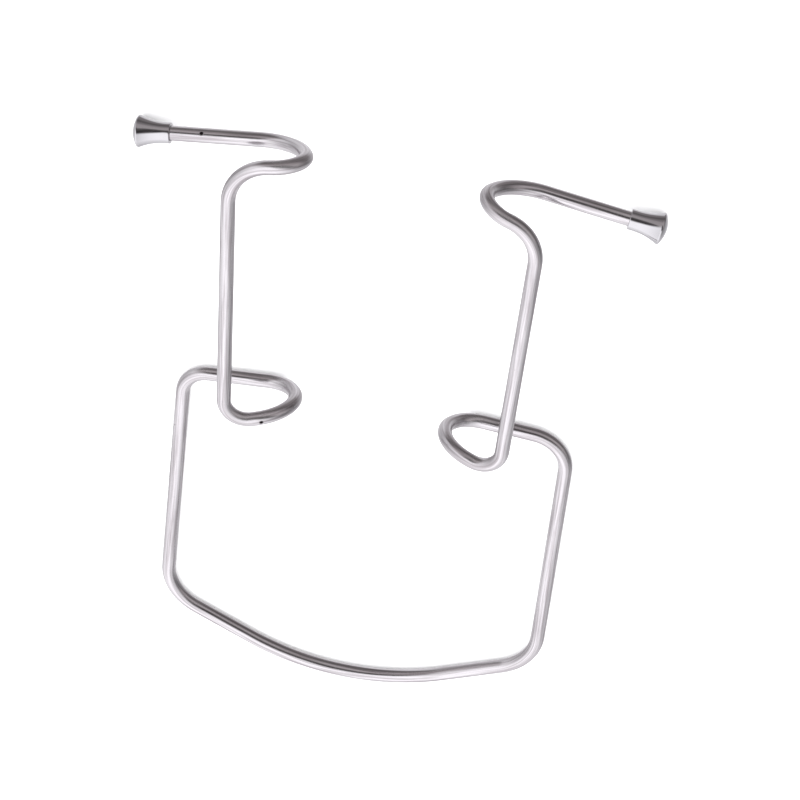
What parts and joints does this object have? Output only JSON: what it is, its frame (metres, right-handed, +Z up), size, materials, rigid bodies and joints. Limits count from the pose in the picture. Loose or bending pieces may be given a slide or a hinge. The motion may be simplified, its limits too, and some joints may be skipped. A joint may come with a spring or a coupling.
{
  "type": "cheek retractor",
  "caption": "Self-retaining spring-wire cheek retractor with lip hooks, straight cheek posts, a chin bow and flared metal end caps.",
  "frame": {"origin": "on the table the retractor lies on, under the middle of its bounding box, in the mouth window between the two cheek posts", "axes": "+X to the side with the right_ nodes, across the face; +Y from the chin bow towards the upper hooks and caps; +Z up from the outer frame to the cheek posts, into the mouth"},
  "size_m": [0.1072, 0.1461, 0.0208],
  "materials": {
    "spring_wire": "polished stainless spring wire, satin along its length",
    "cap_metal": "mirror bright, turned"
  },
  "bodies": {
    "left_half": {"left_bow": "spring_wire", "left_side_leg": "spring_wire", "left_lower_hook": "spring_wire", "left_cheek_post": "spring_wire", "left_upper_hook": "spring_wire", "left_end_arm": "spring_wire", "left_end_cap": "cap_metal"},
    "right_half": {"right_bow": "spring_wire", "right_side_leg": "spring_wire", "right_lower_hook": "spring_wire", "right_cheek_post": "spring_wire", "right_upper_hook": "spring_wire", "right_end_arm": "spring_wire", "right_end_cap": "cap_metal"}
  },
  "joints": [
    {"name": "bow_flex", "type": "hinge", "parent": "left_half", "child": "right_half", "pos_m": [0, -0.07145, 0.0015], "axis": [0, 0, 1], "range_deg": [-3, 12], "stiffness_Nm_per_rad": 4.3}
  ]
}
